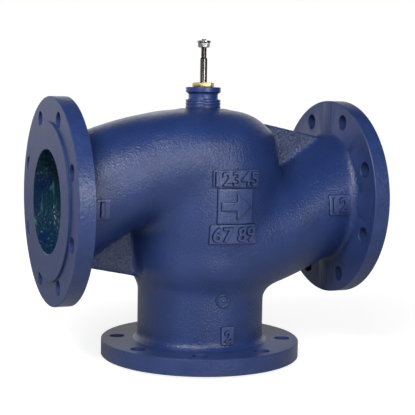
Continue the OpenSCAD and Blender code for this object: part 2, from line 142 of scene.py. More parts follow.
def shown_instead(tree, share, plain, shown, output):
    """Lets one shader take another's place by a share, and hands the result to the output."""
    mix = add(tree, "ShaderNodeMixShader")
    tree.links.new(share, mix.inputs[0])
    tree.links.new(plain.outputs[0], mix.inputs[1])
    tree.links.new(shown.outputs[0], mix.inputs[2])
    tree.links.new(mix.outputs[0], output.inputs["Surface"])


print("node helpers: add, combined, spread, mirrored_or_glass, shown_instead")

# %% [markdown]
# ## Studio
# The highlights on the dome, the trunks and the flanges say where the lamps stood: a key light over
# the left shoulder, wide but low, a front light low on the right, and weak panels on all sides.

# %% Hang the lamps
AIM = Vector((0.0, 0.0, 0.20))
LAMP_DISTANCE = 1.7
SOFTBOXES = {  # name: (direction from the valve, width, height, watts)
    "key_softbox": ((-0.58, -0.55, 0.60), 0.9, 0.3, 22.0),
    "front_softbox": ((0.13, -0.95, 0.28), 0.45, 0.45, 9.6),
    "front_right_softbox": ((0.42, -0.88, 0.22), 0.5, 0.5, 0.8),
    "front_left_softbox": ((-0.38, -0.78, 0.50), 0.4, 0.4, 4.4),
    "small_card": ((-0.05, -1.00, -0.02), 0.28, 0.28, 1.8),
    "side_panel": ((-0.72, -0.68, 0.10), 0.25, 0.9, 1.7),
    "back_panel": ((0.03, 0.97, 0.24), 1.8, 0.8, 1.2),
    "right_panel": ((0.88, 0.46, 0.14), 1.0, 1.0, 0.6),
    "left_panel": ((-0.96, 0.20, 0.16), 1.2, 1.0, 1.0),
}
for name, (direction, width, height, watts) in SOFTBOXES.items():
    place = AIM + Vector(direction).normalized() * LAMP_DISTANCE
    bpy.ops.object.light_add(type="AREA", location=place)
    lamp = bpy.context.object
    lamp.name = name
    lamp.data.shape = "RECTANGLE"
    lamp.data.size, lamp.data.size_y = width, height
    lamp.data.energy = watts
    lamp.rotation_euler = (AIM - place).to_track_quat("-Z", "Y").to_euler()
total = sum(watts for _, _, _, watts in SOFTBOXES.values())
print("lamps:", len(SOFTBOXES), "with", round(total, 1), "watts together")

# %% [markdown]
# The room and the floor are white where the camera looks straight at them. A shiny piece also sees
# the white backdrop behind the valve, up to about thirty degrees, but none of that white lights the
# paint. The floor turns whiter with distance, so that its edge can't be told from the room, and
# still shows the valve's shadow.

# %% Paint the room
ROOM_LIGHT = 0.02
WHITE = (1, 1, 1, 1)
world = bpy.data.worlds.new("white_room")
bpy.context.scene.world = world
world.use_nodes = True
tree = world.node_tree
dim = tree.nodes["Background"]
dim.inputs["Color"].default_value = WHITE
dim.inputs["Strength"].default_value = ROOM_LIGHT
bright = add(tree, "ShaderNodeBackground")
bright.inputs["Color"].default_value = WHITE
bright.inputs["Strength"].default_value = 1.0
path = add(tree, "ShaderNodeLightPath")
towards = add(tree, "ShaderNodeSeparateXYZ")
tree.links.new(add(tree, "ShaderNodeTexCoord").outputs["Generated"], towards.inputs[0])
behind = spread(tree, towards.outputs["Y"], 0.0, 1.0, 0.25, 0.65)
not_above = spread(tree, towards.outputs["Z"], 1.0, 0.0, 0.30, 0.60)
backdrop = combined(tree, behind, not_above, "MULTIPLY")
backdrop = combined(tree, backdrop, mirrored_or_glass(tree, path), "MULTIPLY")
share = combined(tree, path.outputs["Is Camera Ray"], backdrop)
shown_instead(tree, share, dim, bright, tree.nodes["World Output"])
print("room light", dim.inputs["Strength"].default_value)

# %% Lay the floor
FLOOR_SIZE, FLOOR_GREY, FLOOR_MIRRORED = 8, 0.42, 0.2
SHADE_NEAR, SHADE_FAR = 0.25, 1.1
bpy.ops.mesh.primitive_plane_add(size=FLOOR_SIZE, location=(0, 0, -0.2 * MM))
floor = bpy.context.object
floor.name = "pale_floor"
bpy.ops.object.transform_apply(location=True)
floor_paint = bpy.data.materials.new("pale_floor")
floor_paint.use_nodes = True
tree = floor_paint.node_tree
matt = tree.nodes["Principled BSDF"]
matt.inputs["Base Color"].default_value = (FLOOR_GREY, FLOOR_GREY, FLOOR_GREY, 1)
matt.inputs["Roughness"].default_value = 0.9
matt.inputs["Specular IOR Level"].default_value = 0.1
away = add(tree, "ShaderNodeVectorMath", operation="LENGTH")
tree.links.new(add(tree, "ShaderNodeTexCoord").outputs["Object"], away.inputs[0])
lift = add(tree, "ShaderNodeEmission")
whiter = spread(tree, away.outputs["Value"], 0.86, 1.0, SHADE_NEAR, SHADE_FAR)
tree.links.new(whiter, lift.inputs["Strength"])
lifted = add(tree, "ShaderNodeAddShader")
tree.links.new(matt.outputs[0], lifted.inputs[0])
tree.links.new(lift.outputs[0], lifted.inputs[1])
path = add(tree, "ShaderNodeLightPath")
mirrored = combined(tree, mirrored_or_glass(tree, path), FLOOR_MIRRORED, "MULTIPLY")
share = combined(tree, path.outputs["Is Camera Ray"], mirrored)
shown_instead(tree, share, matt, lifted, tree.nodes["Material Output"])
floor.data.materials.append(floor_paint)
print("floor", FLOOR_SIZE, "m wide")

# %% [markdown]
# ## Paint and metal
# The valve wears one deep blue paint over three kinds of ground: the round-grained skin that the
# sand mould leaves, the coarser sand of the flat webs, and turned faces. So the paint is one
# function, with the grain's size and depth as its sizes. Grain is bump, because it is far finer
# than the mesh. Every pattern reads Object coordinates, which are metres on the valve.

# %% Helpers for materials
def noise(tree, where, scale, detail=2.0, roughness=0.5):
    node = add(tree, "ShaderNodeTexNoise")
    node.inputs["Scale"].default_value = scale
    node.inputs["Detail"].default_value = detail
    node.inputs["Roughness"].default_value = roughness
    tree.links.new(where, node.inputs["Vector"])
    return node.outputs["Fac"]


def two_tones(tree, factor, first, second, start=0.3, end=0.7):
    ramp = add(tree, "ShaderNodeValToRGB")
    ramp.color_ramp.elements[0].position = start
    ramp.color_ramp.elements[0].color = (*first, 1)
    ramp.color_ramp.elements[1].position = end
    ramp.color_ramp.elements[1].color = (*second, 1)
    tree.links.new(factor, ramp.inputs["Fac"])
    return ramp.outputs["Color"]


def bump(tree, height, strength, distance, below=None):
    node = add(tree, "ShaderNodeBump")
    node.inputs["Strength"].default_value = strength
    node.inputs["Distance"].default_value = distance
    tree.links.new(height, node.inputs["Height"])
    if below is not None:
        tree.links.new(below, node.inputs["Normal"])
    return node.outputs["Normal"]


def new_material(name):
    material = bpy.data.materials.new(name)
    material.use_nodes = True
    tree = material.node_tree
    where = add(tree, "ShaderNodeTexCoord").outputs["Object"]
    return material, tree, tree.nodes["Principled BSDF"], where


# %% Blue paint
BLUE_DEEP, BLUE_WORN = (0.0120, 0.0290, 0.1140), (0.0170, 0.0380, 0.1440)
TURNED_DEEP, TURNED_WORN = (0.016, 0.034, 0.124), (0.024, 0.045, 0.154)
PAINT_SHINE = 0.50


def blue_paint(name, grain_scale, grain_depth, gloss_low, gloss_high,
               deep=BLUE_DEEP, worn=BLUE_WORN, patch_scale=26):
    """Two close blues in soft patches, over a grain that sets both bump and gloss."""
    material, tree, shader, where = new_material(name)
    patches = noise(tree, where, patch_scale, 3)
    tree.links.new(two_tones(tree, patches, deep, worn), shader.inputs["Base Color"])
    grain = noise(tree, where, grain_scale, 2, 0.55)
    fine = noise(tree, where, grain_scale * 3.1, 2)
    tree.links.new(spread(tree, grain, gloss_low, gloss_high), shader.inputs["Roughness"])
    skin = bump(tree, grain, 0.8, grain_depth)
    skin = bump(tree, fine, 0.5, grain_depth * 0.25, skin)
    tree.links.new(skin, shader.inputs["Normal"])
    shader.inputs["Specular IOR Level"].default_value = PAINT_SHINE
    return material


# How the painted glints in the passages are stretched and turned.
GLINT_STRETCH, GLINT_TURN = (300, 300, 22), (0.25, 0.45, 0.0)


def with_painted_glints(material, light):
    """Paints thin light streaks, stretched along the passage, into a paint's colour: painted
    glints.
    """
    tree = material.node_tree
    shader = tree.nodes["Principled BSDF"]
    ground = shader.inputs["Base Color"].links[0].from_socket
    stretch = add(tree, "ShaderNodeMapping")
    stretch.inputs["Rotation"].default_value = GLINT_TURN
    stretch.inputs["Scale"].default_value = GLINT_STRETCH
    tree.links.new(add(tree, "ShaderNodeTexCoord").outputs["Object"], stretch.inputs["Vector"])
    glint_lines = noise(tree, stretch.outputs["Vector"], 1.0, 1.0)
    glint_mask = two_tones(tree, glint_lines, (0, 0, 0), (1, 1, 1), 0.60, 0.74)
    mixed = add(tree, "ShaderNodeMix", data_type="RGBA")
    tree.links.new(glint_mask, mixed.inputs[0])
    tree.links.new(ground, mixed.inputs[6])
    mixed.inputs[7].default_value = (*light, 1)
    tree.links.new(mixed.outputs[2], shader.inputs["Base Color"])
    return material


cast_blue = blue_paint("cast_blue_paint", 430, 0.0009, 0.27, 0.37)
relief_blue = blue_paint("relief_blue_paint", 520, 0.0007, 0.26, 0.38,
                         (0.020, 0.040, 0.135), (0.044, 0.068, 0.190))
# The slopes of the marks get a much darker blue: painted shade.
painted_relief_shade = blue_paint("relief_painted_shade", 520, 0.0004, 0.42, 0.52,
                         (0.003, 0.008, 0.034), (0.006, 0.014, 0.052))
web_blue = blue_paint("web_blue_paint", 300, 0.0034, 0.36, 0.54,
                      (0.020, 0.032, 0.085), (0.058, 0.076, 0.160), 320)
turned_blue = blue_paint("turned_blue_paint", 520, 0.00022, 0.42, 0.54,
                         TURNED_DEEP, TURNED_WORN, 60)
rim_blue = blue_paint("rim_blue_paint", 260, 0.0009, 0.28, 0.40, TURNED_DEEP, TURNED_WORN, 60)
neck_blue = blue_paint("neck_blue_paint", 600, 0.00003, 0.32, 0.38,
                       (0.014, 0.034, 0.140), (0.019, 0.043, 0.168))
# The passages' paint carries painted glints: light streaks that stand for reflected light.
inside_blue = with_painted_glints(blue_paint("inside_paint", 260, 0.0012, 0.16, 0.34,
                                  (0.004, 0.016, 0.080), (0.009, 0.045, 0.048), 34),
                       (0.05, 0.14, 0.16))
outside = (cast_blue, relief_blue, painted_relief_shade, web_blue, turned_blue, rim_blue, neck_blue)
print("blue paints:", [paint.name for paint in outside], "and", inside_blue.name)

# %% [markdown]
# Turned metal shows fine rings round the axis it was turned about. A wave pattern made of rings
# about the stem's axis gives them, as a faint bump and a change of roughness.

# %% Metals and seals
def turned_metal(name, light, dark, roughness, ring_scale, ring_depth):
    material, tree, shader, where = new_material(name)
    cloud = noise(tree, where, 90, 4)
    tree.links.new(two_tones(tree, cloud, dark, light), shader.inputs["Base Color"])
    shader.inputs["Metallic"].default_value = 1.0
    rings = add(tree, "ShaderNodeTexWave", wave_type="BANDS", bands_direction="Z")
    rings.inputs["Scale"].default_value = ring_scale
    rings.inputs["Distortion"].default_value = 0.6
    tree.links.new(where, rings.inputs["Vector"])
    gloss = spread(tree, rings.outputs["Fac"], roughness, roughness + 0.10)
    tree.links.new(gloss, shader.inputs["Roughness"])
    tree.links.new(bump(tree, rings.outputs["Fac"], 0.4, ring_depth), shader.inputs["Normal"])
    return material


def soft_ring(name, light, dark, roughness, grain_scale):
    material, tree, shader, where = new_material(name)
    grain = noise(tree, where, grain_scale, 3)
    tree.links.new(two_tones(tree, grain, dark, light), shader.inputs["Base Color"])
    tree.links.new(spread(tree, grain, roughness, roughness + 0.1), shader.inputs["Roughness"])
    tree.links.new(bump(tree, grain, 0.5, 0.0001), shader.inputs["Normal"])
    return material


stem_steel = turned_metal(
    "stem_steel", (0.25, 0.24, 0.23), (0.17, 0.163, 0.155), 0.07, 900, 0.00002)
thread_steel = turned_metal(
    "thread_steel", (0.09, 0.086, 0.082), (0.04, 0.038, 0.036), 0.26, 700, 0.00002)
nut_steel = turned_metal(
    "nut_steel", (0.44, 0.44, 0.45), (0.30, 0.30, 0.31), 0.16, 700, 0.00002)
plug_steel = turned_metal(
    "plug_steel", (0.58, 0.57, 0.55), (0.46, 0.45, 0.43), 0.28, 500, 0.00004)
gland_brass = turned_metal(
    "gland_brass", (0.74, 0.61, 0.29), (0.52, 0.41, 0.17), 0.24, 620, 0.00003)
seat_brass = turned_metal(
    "seat_brass", (0.76, 0.60, 0.27), (0.60, 0.45, 0.18), 0.30, 500, 0.00004)
white_ring = soft_ring("white_ring", (0.80, 0.79, 0.74), (0.70, 0.68, 0.62), 0.42, 240)
black_ring = soft_ring("black_ring", (0.022, 0.022, 0.024), (0.012, 0.012, 0.013), 0.55, 300)
print("metals and seals made")

# %% [markdown]
# ## Pieces that keep their CAD shape
# Rings, packing, plug and small nuts are turned parts, and their solids already are what they
# look like. They only take a finish, which goes into the material slot of the CAD object.

# %% Finish the carried-over pieces
KEPT = {
    seat_brass: ["upper_seat_ring", "lower_seat_ring", "guide_bush", "packing_follower"],
    white_ring: ["upper_seat_gasket", "lower_seat_gasket", "packing_ring_1", "packing_ring_2",
                 "packing_ring_3", "packing_ring_4", "plug_upper_seal", "plug_lower_seal"],
    black_ring: ["neck_gasket", "gland_gasket", "wiper_ring"],
    plug_steel: ["packing_washer", "plug", "plug_washer", "plug_nut"],
}
for finish, names in KEPT.items():
    for name in names:
        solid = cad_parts[name]
        solid.data.materials.clear()
        solid.data.materials.append(finish)
print("finished", sum(len(names) for names in KEPT.values()), "carried-over pieces")

# %% [markdown]
# ## Helpers for modelling
# An operator works on whatever is selected, so each step starts by selecting one thing only. In
# edit mode, points and faces are picked in code by where they are, as a hand would box-select them.

# %% Modelling helpers
def only(piece):
    if bpy.context.object and bpy.context.object.mode != "OBJECT":
        bpy.ops.object.mode_set(mode="OBJECT")
    bpy.ops.object.select_all(action="DESELECT")
    piece.select_set(True)
    bpy.context.view_layer.objects.active = piece


def apply_modifier(piece, kind, **settings):
    only(piece)
    modifier = piece.modifiers.new(kind.lower(), kind)
    for name, value in settings.items():
        setattr(modifier, name, value)
    bpy.ops.object.modifier_apply(modifier=modifier.name)


def bevel_edges(piece, width, segments, degrees):
    """Bevels every edge that is sharper than the angle."""
    apply_modifier(piece, "BEVEL", width=width, segments=segments, limit_method="ANGLE",
                   angle_limit=math.radians(degrees))


def settle(piece):
    """Bakes the object's place, turn and size into its mesh."""
    only(piece)
    bpy.ops.object.transform_apply(location=True, rotation=True, scale=True)


def tidy(piece, merge=1e-6):
    """Merges doubles and turns every face outwards."""
    only(piece)
    bpy.ops.object.mode_set(mode="EDIT")
    bpy.ops.mesh.select_all(action="SELECT")
    bpy.ops.mesh.remove_doubles(threshold=merge)
    bpy.ops.mesh.normals_make_consistent(inside=False)
    bpy.ops.object.mode_set(mode="OBJECT")


def smooth_by_angle(piece, degrees=35):
    only(piece)
    bpy.ops.object.shade_smooth_by_angle(angle=math.radians(degrees))


def open_edges(piece):
    mesh = bmesh.new()
    mesh.from_mesh(piece.data)
    count = sum(not edge.is_manifold for edge in mesh.edges)
    mesh.free()
    return count


def dress(piece, body, slot, *replaced):
    """Hands a finished piece to the frame and says what it measures."""
    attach(piece, body)
    if replaced:
        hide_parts(*replaced)
    size = [round(v * 1000, 1) for v in piece.dimensions]
    triangles = sum(len(p.vertices) - 2 for p in piece.data.polygons)
    print(f"{piece.name}: {size} mm, {triangles} triangles, {open_edges(piece)} open edges")


def spun(name, outline, steps=96, at=(0, 0, 0)):
    """Turns an outline of (radius, height) points about the vertical through a place."""
    bpy.ops.mesh.primitive_circle_add(vertices=len(outline), radius=1)
    piece = bpy.context.object
    piece.name = name
    for point, (radius, height) in zip(piece.data.vertices, outline):
        point.co = Vector(at) + Vector((radius, 0, height))
    bpy.ops.object.mode_set(mode="EDIT")
    bpy.ops.mesh.select_all(action="SELECT")
    bpy.ops.mesh.spin(steps=steps, angle=2 * math.pi, center=at, axis=(0, 0, 1))
    bpy.ops.mesh.select_all(action="SELECT")
    bpy.ops.mesh.remove_doubles(threshold=2e-6)
    bpy.ops.mesh.delete_loose()
    bpy.ops.mesh.select_all(action="SELECT")
    bpy.ops.mesh.normals_make_consistent(inside=False)
    bpy.ops.object.mode_set(mode="OBJECT")
    return piece


def arc(centre, radius, start, end, steps=6):
    """Points of an arc in a lathe outline, angles in degrees."""
    points = []
    for step in range(steps + 1):
        angle = math.radians(start + (end - start) * step / steps)
        points.append((centre[0] + radius * math.cos(angle), centre[1] + radius * math.sin(angle)))
    return points


def cut(piece, tool, operation="DIFFERENCE", solver="MANIFOLD"):
    apply_modifier(piece, "BOOLEAN", object=tool, operation=operation, solver=solver)
    bpy.data.objects.remove(tool)


def turn_to_port(piece, port):
    """Moves a piece made about the vertical, face at zero and back below, to a port."""
    if port == "b":
        place = Matrix.Rotation(math.radians(180), 4, "X")
    else:
        side = 1 if port == "ab" else -1
        turn = Matrix.Rotation(math.radians(90 * side), 4, "Y")
        place = Matrix.Translation((side * FACE_X, 0, AXIS_Z)) @ turn
    piece.data.transform(place)
    piece.data.update()


# %% [markdown]
# ## The casting: rough part
# The real body is poured iron, so it has no sharp inner corner anywhere: wherever two forms meet,
# the mould left a fillet. The CAD solid has the right forms but meets them crisply. A voxel remesh
# of a merged copy melts the corners, and a few rounds of smoothing turn what is left into fillets.
# The flanges would lose their edges in that, so they are cut off first and set on again later, in
# the same order as in the foundry and the machine shop.

# %% Cut the flanges off a copy of the casting
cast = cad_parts["body_casting"].copy()
cast.data = cast.data.copy()
cast.name = "cast_body"
cast.parent = None
for key in list(cast.keys()):
    del cast[key]
bpy.context.scene.collection.objects.link(cast)
tidy(cast, 1e-5)
print("copy of the casting:", len(cast.data.polygons), "faces,", open_edges(cast), "open edges")

STUB = FLANGE_T - 4 * MM
STUB_R, SAW_R, END_SAW_R, SAW_END = 87.5 * MM, 150 * MM, 140 * MM, 6 * MM
PORTS = ("a", "ab", "b")


def ring_blank(name, outer, inner, low, high, steps=96):
    return spun(name, [(inner, low), (outer, low), (outer, high), (inner, high)], steps)


for port in PORTS:
    saw = ring_blank("flange_saw", SAW_R, STUB_R, -FLANGE_T - 0.4 * MM, 5 * MM)
    turn_to_port(saw, port)
    cut(cast, saw)
    saw = spun("end_saw", [(0, -STUB), (END_SAW_R, -STUB), (END_SAW_R, SAW_END), (0, SAW_END)])
    turn_to_port(saw, port)
    cut(cast, saw)
tidy(cast, 1e-5)
print("without flanges:", len(cast.data.polygons), "faces,", open_edges(cast), "open edges")

# %% Melt the corners
VOXEL = 3.0 * MM
apply_modifier(cast, "REMESH", mode="VOXEL", voxel_size=VOXEL, adaptivity=0.0)
apply_modifier(cast, "SMOOTH", factor=0.5, iterations=8)
print("cast skin:", len(cast.data.polygons), "faces,", open_edges(cast), "open edges")
cast.data.materials.clear()
CAST_FINISHES = (cast_blue, web_blue, turned_blue, inside_blue, rim_blue)
SKIN, WEB, TURNED, INSIDE, RIM = range(len(CAST_FINISHES))
for finish in CAST_FINISHES:
    cast.data.materials.append(finish)

# %% [markdown]
# ## The casting: machine shop
# A flange is a thick disc with a raised face and a small chamfer on both rims. It is turned from
# one outline and set on by a boolean union. Bores and bolt holes are drilled last, which keeps
# every machined edge as sharp as on the real part.

# %% Set on the flanges
EDGE = 0.5 * MM


def flange_blank(port):
    chamfer = 0.9 * MM
    outline = [
        (0, 0), (RAISED_R - EDGE, 0), (RAISED_R, -EDGE), (RAISED_R, -RAISED_T),
        (FLANGE_R - chamfer, -RAISED_T), (FLANGE_R, -RAISED_T - chamfer),
        (FLANGE_R, -FLANGE_T + chamfer), (FLANGE_R - chamfer, -FLANGE_T), (0, -FLANGE_T),
    ]
    blank = spun("flange_blank", outline, 128)
    for finish in CAST_FINISHES:
        blank.data.materials.append(finish)
    for face in blank.data.polygons:
        on_rim = abs(face.normal.z) < 0.5 and face.center.xy.length > FLANGE_R - 1.5 * MM
        face.material_index = RIM if on_rim else TURNED
    turn_to_port(blank, port)
    return blank


for port in PORTS:
    cut(cast, flange_blank(port), "UNION")
print("with flanges:", len(cast.data.polygons), "faces,", open_edges(cast), "open edges")


# %% Drill the bores
def drill(name, outline, steps=96, port=None, about=(0, 0, 0), material=TURNED):
    tool = spun(name, outline, steps)
    tool.data.transform(Matrix.Translation(about))
    for finish in CAST_FINISHES:
        tool.data.materials.append(finish)
    for face in tool.data.polygons:
        face.material_index = material
    if port:
        turn_to_port(tool, port)
    return tool


def bore_outline(radius, deep, chamfer, over=2 * MM):
    return [(0, -deep), (radius, -deep), (radius, -chamfer), (radius + chamfer, 0),
            (radius + chamfer, over), (0, over)]


BORE_DEEP, BORE_EDGE = 25 * MM, 0.6 * MM
for port in ("a", "ab"):
    outline = bore_outline(BORE_R, BORE_DEEP, BORE_EDGE)
    cut(cast, drill("port_drill", outline, 128, port, material=INSIDE))
UPPER_R, LOWER_R, SPIGOT_R = 55.05 * MM, 59.05 * MM, 17.05 * MM
LOWER_LAND, LOWER_END = 94 * MM, 109 * MM
UPPER_LAND, UPPER_END = 190 * MM, 206 * MM
cut(cast, drill("bottom_drill", [
    (0, -2 * MM), (BORE_R + BORE_EDGE, -2 * MM), (BORE_R + BORE_EDGE, 0), (BORE_R, BORE_EDGE),
    (BORE_R, LOWER_LAND), (LOWER_R, LOWER_LAND), (LOWER_R, LOWER_END), (0, LOWER_END),
], 128, material=INSIDE))
COUNTERBORE_R, COUNTERBORE_DEEP = UPPER_R + 6 * MM, 3 * MM
cut(cast, drill("bridge_drill", [
    (0, UPPER_LAND - COUNTERBORE_DEEP), (COUNTERBORE_R, UPPER_LAND - COUNTERBORE_DEEP),
    (COUNTERBORE_R, UPPER_LAND), (UPPER_R, UPPER_LAND), (UPPER_R, UPPER_END), (0, UPPER_END),
], 128))
FACER_R, BOSS_TOP = 60 * MM, NECK_LOW.z + 24 * MM
cut(cast, drill("neck_drill", [
    (0, BOSS_TOP - 40 * MM), (SPIGOT_R, BOSS_TOP - 40 * MM), (SPIGOT_R, BOSS_TOP),
    (FACER_R, BOSS_TOP), (FACER_R, BOSS_TOP + 5 * MM), (0, BOSS_TOP + 5 * MM),
], 96))

# %% Drill the bolt holes
BOLT_OUTLINE = [
    (0, -32 * MM), (BOLT_R + EDGE, -32 * MM), (BOLT_R + EDGE, -FLANGE_T),
    (BOLT_R, -FLANGE_T + EDGE), (BOLT_R, -RAISED_T - EDGE), (BOLT_R + EDGE, -RAISED_T),
    (BOLT_R + EDGE, 3 * MM), (0, 3 * MM),
]
for port in PORTS:
    holes = None
    for i in range(BOLT_COUNT):
        angle = 2 * math.pi * (i + 0.5) / BOLT_COUNT
        spot = (BOLT_CIRCLE_R * math.cos(angle), BOLT_CIRCLE_R * math.sin(angle), 0)
        hole = drill("bolt_drill", BOLT_OUTLINE, 32, None, spot)
        if holes is None:
            holes = hole
        else:
            only(holes)
            hole.select_set(True)
            bpy.ops.object.join()
    turn_to_port(holes, port)
    cut(cast, holes)
tidy(cast, 2e-6)
print("drilled:", len(cast.data.polygons), "faces,", open_edges(cast), "open edges")

# %% [markdown]
# ## Which paint goes where
# The passages were painted too, darker and glossier with painted glints, and the flat webs are
# coarser.
# The drilled faces part the outside from the inside, so a flood fill that starts on the dome and
# never crosses a drilled face finds the whole outside. What it doesn't reach is the inside.

# %% Sort the faces
mesh = bmesh.new()
mesh.from_mesh(cast.data)
mesh.faces.ensure_lookup_table()
skin_faces = [f for f in mesh.faces if f.material_index == SKIN]
start = max(skin_faces, key=lambda f: f.calc_center_median().z - abs(f.calc_center_median().x))
reached, front = {start}, [start]
while front:
    face = front.pop()
    for edge in face.edges:
        for other in edge.link_faces:
            if other not in reached and other.material_index == SKIN:
                reached.add(other)
                front.append(other)
for face in skin_faces:
    if face not in reached:
        face.material_index = INSIDE
WEB_HALF, WEB_START = 7.8 * MM, 70 * MM
for face in reached:
    middle = face.calc_center_median()
    in_web = abs(middle.y) < WEB_HALF and abs(middle.x) > WEB_START
    if in_web and abs(face.normal.y) > 0.9:
        face.material_index = WEB
mesh.to_mesh(cast.data)
mesh.free()
counts = [0] * len(CAST_FINISHES)
for face in cast.data.polygons:
    counts[face.material_index] += 1
print("faces on skin, webs, turned, inside, rims:", counts)
smooth_by_angle(cast, 38)
dress(cast, FIXED, "casting_paint", "body_casting")

# %% [markdown]
# ## Raised marks
# A foundry lets small plates and figures into its pattern, and the mould brings them out as shallow
# relief under the same paint. They aren't flat: each follows the round wall that carries it. So a
# flat piece gets its height and its sloping edges first, and then every point of it is set back by
# as much as the wall behind it lies back. The slopes take a much darker blue, which is painted
# shade along the sides of each mark. Here the marks hold plain numbers and a flow arrow.

# %% Helpers for relief
FRONT_Y = -150 * MM
SUNK = 2.5 * MM
FLAT_ENOUGH = 0.92


def thick(piece, proud, slope=1.3 * MM):
    """Gives a flat sheet on the ground its height, with sloping edges."""
    apply_modifier(piece, "SOLIDIFY", thickness=proud + SUNK, offset=1)
    bevel_edges(piece, slope, 2, 50)
    tidy(piece)
    return piece


def laid_on(piece):
    """Stands a relief up, facing the front, and lets every point follow the wall behind it."""
    piece.data.materials.clear()
    for finish in (relief_blue, painted_relief_shade):
        piece.data.materials.append(finish)
    # Flat tops take the relief paint; the slopes take the darker blue of painted shade.
    for face in piece.data.polygons:
        face.material_index = 0 if face.normal.z > FLAT_ENOUGH else 1
    for vertex in piece.data.vertices:
        x, z, lift = vertex.co.x, vertex.co.y + AXIS_Z, vertex.co.z - SUNK
        _, wall, _, _ = cast.ray_cast(Vector((x, FRONT_Y, z)), Vector((0, 1, 0)))
        vertex.co = Vector((x, wall.y - lift, z))
    piece.data.update()
    return piece


def plate(name, left, right, low, high, proud=2.6 * MM):
    bpy.ops.mesh.primitive_grid_add(x_subdivisions=24, y_subdivisions=12, size=1)
    piece = bpy.context.object
    piece.name = name
    piece.scale = ((right - left) * MM, (high - low) * MM, 1)
    piece.location = ((left + right) / 2 * MM, (low + high) / 2 * MM, 0)
    settle(piece)
    return laid_on(thick(piece, proud))


FIGURE_SLOPE = 1.6 * MM


def figures(name, text, left, right, low, high, proud=5.0 * MM):
    """A row of numbers: the text curve brings its own height and sloping edge."""
    bpy.ops.object.text_add()
    piece = bpy.context.object
    piece.name = name
    piece.data.body = text
    piece.data.resolution_u = 4
    piece.data.offset = 0.004
    piece.data.extrude = 0.1
    piece.data.bevel_depth = 0.034
    piece.data.bevel_resolution = 0
    bpy.ops.object.convert(target="MESH")
    tidy(piece, 1e-4)
    points = piece.data.vertices
    crest = max(v.co.z for v in points)
    first_x, first_y = min(v.co.x for v in points), min(v.co.y for v in points)
    wide = max(v.co.x for v in points) - first_x
    tall = max(v.co.y for v in points) - first_y
    for point in points:
        x = left + (point.co.x - first_x) / wide * (right - left)
        y = low + (point.co.y - first_y) / tall * (high - low)
        slope = FIGURE_SLOPE if point.co.z < crest - 0.01 else 0
        lift = proud + SUNK - slope if point.co.z > 0 else 0
        point.co = Vector((x * MM, y * MM, lift))
    tidy(piece)
    return laid_on(piece)


def arrow(name, left, right, middle, half, shaft, proud=5.0 * MM):
    """A flow arrow from seven points."""
    neck_x = right - half * 1.2
    points = [(left, -shaft), (neck_x, -shaft), (neck_x, -half), (right, 0), (neck_x, half),
              (neck_x, shaft), (left, shaft)]
    bpy.ops.mesh.primitive_circle_add(vertices=len(points), radius=1)
    piece = bpy.context.object
    piece.name = name
    for vertex, (x, y) in zip(piece.data.vertices, points):
        vertex.co = Vector((x, middle + y, 0)) * MM
    bpy.ops.object.mode_set(mode="EDIT")
    bpy.ops.mesh.select_all(action="SELECT")
    bpy.ops.mesh.edge_face_add()
    bpy.ops.mesh.quads_convert_to_tris()
    bpy.ops.mesh.subdivide(number_cuts=4)
    bpy.ops.object.mode_set(mode="OBJECT")
    if piece.data.polygons[0].normal.z < 0:
        piece.data.flip_normals()
    return laid_on(thick(piece, proud))


def disc(name, x, z, radius, proud, hole=0):
    bpy.ops.mesh.primitive_circle_add(vertices=48, radius=radius * MM, fill_type="NGON")
    piece = bpy.context.object
    piece.name = name
    bpy.ops.object.mode_set(mode="EDIT")
    bpy.ops.mesh.select_all(action="SELECT")
    if hole:
        bpy.ops.mesh.inset(thickness=(radius - hole) * MM)
        bpy.ops.mesh.delete(type="FACE")
    else:
        bpy.ops.mesh.poke()
    bpy.ops.object.mode_set(mode="OBJECT")
    for vertex in piece.data.vertices:
        vertex.co += Vector((x, z, 0)) * MM
    return laid_on(thick(piece, proud))


# %% Lay plates, numbers, arrow and boss on the casting
marks = [
    plate("top_plate", -27, 34, 20.8, 42),
    plate("middle_plate", -21, 25, -21.8, 20.2),
    plate("low_plate", -29, 31, -46, -22.4),
    figures("top_figures", "12345", -25, 32, 22.4, 40.4),
    figures("low_figures", "67 89", -26.5, 28.5, -44, -24.6),
    arrow("flow_arrow", -17.5, 21.5, -1, 16, 5.2),
    plate("port_a_plate", -168, -147, -14.5, 9),
    figures("port_a_figure", "1", -159.5, -153.5, -11.5, 6.5),
    plate("port_ab_plate", 136.5, 168, -16.5, 9),
    figures("port_ab_figures", "12", 140.5, 164, -13.5, 6),
    plate("port_b_plate", -6, 11, -170, -148),
    figures("port_b_figure", "2", -2.5, 7, -166.5, -152),
    disc("boss_disc", -4.5, -116, 8.8, 1.6 * MM),
    disc("boss_rim", -4.5, -116, 7.8, 2.8 * MM, 5.6),
    disc("boss_dot", -4.5, -116, 2.2, 2.8 * MM),
]
only(marks[0])
for mark in marks[1:]:
    mark.select_set(True)
bpy.ops.object.join()
relief = bpy.context.object
relief.name = "relief_marks"
print("relief paints:", [slot.name for slot in relief.data.materials])
smooth_by_angle(relief, 40)
dress(relief, FIXED, "casting_paint")

# %% [markdown]
# The two halves of the mould meet in the plane of the webs. Behind each side flange that leaves a
# shallow strip between web and rim, above and below.

